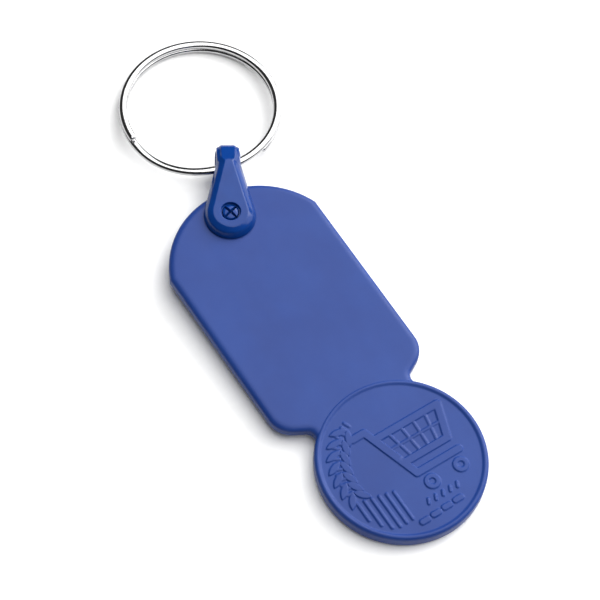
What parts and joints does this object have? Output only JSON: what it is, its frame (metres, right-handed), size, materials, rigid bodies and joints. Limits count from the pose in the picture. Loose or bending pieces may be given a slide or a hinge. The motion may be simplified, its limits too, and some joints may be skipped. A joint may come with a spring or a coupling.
{
  "type": "trolley coin key tag",
  "caption": "Flat tag with a coin-sized relief disc at one end, a swivelling folded strap clip at the other and a steel split ring in the clip's eye.",
  "frame": {"origin": "centre of the coin disc, on its flat underside", "axes": "+Y runs from the coin disc up the tag to the ring, +Z is out of the relief side, +X to the right seen from the relief side"},
  "size_m": [0.0317, 0.0869, 0.0065],
  "materials": {
    "tag_plastic": "satin moulded polystyrene, blue",
    "clip_plastic": "glossy moulded polypropylene, blue",
    "ring_steel": "bright nickel-plated spring steel"
  },
  "bodies": {
    "tag": {"token_tag": "tag_plastic"},
    "clip": {"clip_back_leg": "clip_plastic"},
    "clip_front": {"clip_front_leg": "clip_plastic"},
    "ring": {"split_ring": "ring_steel"}
  },
  "joints": [
    {"name": "clip_swivel", "type": "hinge", "parent": "tag", "child": "clip", "pos_m": [0.00035, 0.0442, 0.00117], "axis": [0, 0, 1], "range_deg": [-38, 66]},
    {"name": "clip_open", "type": "hinge", "parent": "clip", "child": "clip_front", "pos_m": [0.00658, 0.05457, 0.00117], "axis": [-0.8572, 0.515, 0], "range_deg": [0, 150]},
    {"name": "ring_swing", "type": "hinge", "parent": "clip", "child": "ring", "pos_m": [0.00496, 0.05187, 0.001], "axis": [0.9836, -0.1805, 0], "range_deg": [-78, 114]}
  ]
}
